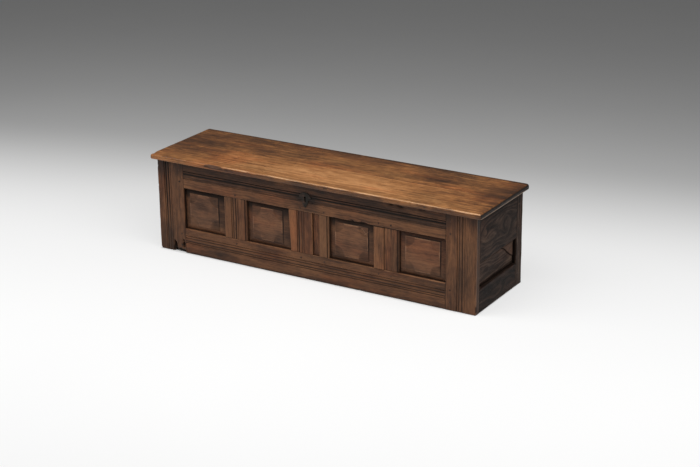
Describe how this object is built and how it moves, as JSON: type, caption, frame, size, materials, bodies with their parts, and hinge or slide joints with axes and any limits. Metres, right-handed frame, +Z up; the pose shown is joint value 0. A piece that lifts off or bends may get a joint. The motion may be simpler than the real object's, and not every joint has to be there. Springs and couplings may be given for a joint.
{
  "type": "coffer chest",
  "caption": "Long low coffer chest with a framed front of fielded, scooped-corner panels, reeded rails and stiles, a hinged plank lid and an iron chest lock.",
  "frame": {"origin": "on the floor, under the middle of the chest's outer box", "axes": "+Z up, +X along the chest's length to the right, -Y towards its front"},
  "size_m": [1.778, 0.487, 0.481],
  "materials": {
    "lid_wood": "waxed, worn",
    "front_wood": "dark waxed",
    "panel_wood": "dark waxed",
    "end_wood": "dry, worn",
    "back_wood": "unpolished",
    "inner_wood": "unpolished",
    "peg_wood": "dark waxed",
    "iron": "blackened, forged"
  },
  "bodies": {
    "carcase": {"back_bottom_rail": "back_wood", "back_ledger": "inner_wood", "back_left_muntin": "back_wood", "back_panel_1": "back_wood", "back_panel_2": "back_wood", "back_panel_3": "back_wood", "back_pegs": "peg_wood", "back_right_muntin": "back_wood", "back_top_rail": "back_wood", "carcase_nails": "iron", "centre_left_muntin": "front_wood", "centre_right_muntin": "front_wood", "centre_slat": "front_wood", "end_pegs": "peg_wood", "escutcheon": "iron", "escutcheon_nails": "iron", "floor_board_1": "inner_wood", "floor_board_2": "inner_wood", "floor_board_3": "inner_wood", "floor_board_4": "inner_wood", "floor_board_5": "inner_wood", "floor_board_6": "inner_wood", "front_bottom_rail": "front_wood", "front_ledger": "inner_wood", "front_left_stile": "front_wood", "front_panel_1": "panel_wood", "front_panel_2": "panel_wood", "front_panel_3": "panel_wood", "front_panel_4": "panel_wood", "front_pegs": "peg_wood", "front_right_stile": "front_wood", "front_top_rail": "front_wood", "left_end_bottom_rail": "end_wood", "left_end_panel": "end_wood", "left_end_top_rail": "end_wood", "left_hinge_leaf": "iron", "left_hinge_pin": "iron", "left_muntin": "front_wood", "lock_cover": "iron", "lock_plate": "iron", "lock_spring": "iron", "rear_left_stile": "end_wood", "rear_right_stile": "end_wood", "right_end_bottom_rail": "end_wood", "right_end_panel": "end_wood", "right_end_top_rail": "end_wood", "right_hinge_leaf": "iron", "right_hinge_pin": "iron", "right_muntin": "front_wood", "right_muntin_board": "front_wood"},
    "lid": {"lid_front_board": "lid_wood", "lid_back_board": "lid_wood", "lid_left_batten": "inner_wood", "lid_right_batten": "inner_wood", "left_hinge_strap": "iron", "right_hinge_strap": "iron", "lid_staple": "iron", "lid_nails": "iron"},
    "lock_bolt": {"lock_bolt": "iron"}
  },
  "joints": [
    {"name": "lid_hinge", "type": "hinge", "parent": "carcase", "child": "lid", "pos_m": [0, 0.2391, 0.4514], "axis": [-1, 0, 0], "range_deg": [0, 100]},
    {"name": "lock_bolt_slide", "type": "slide", "parent": "carcase", "child": "lock_bolt", "axis": [1, 0, 0], "range_m": [0, 0.024]}
  ]
}
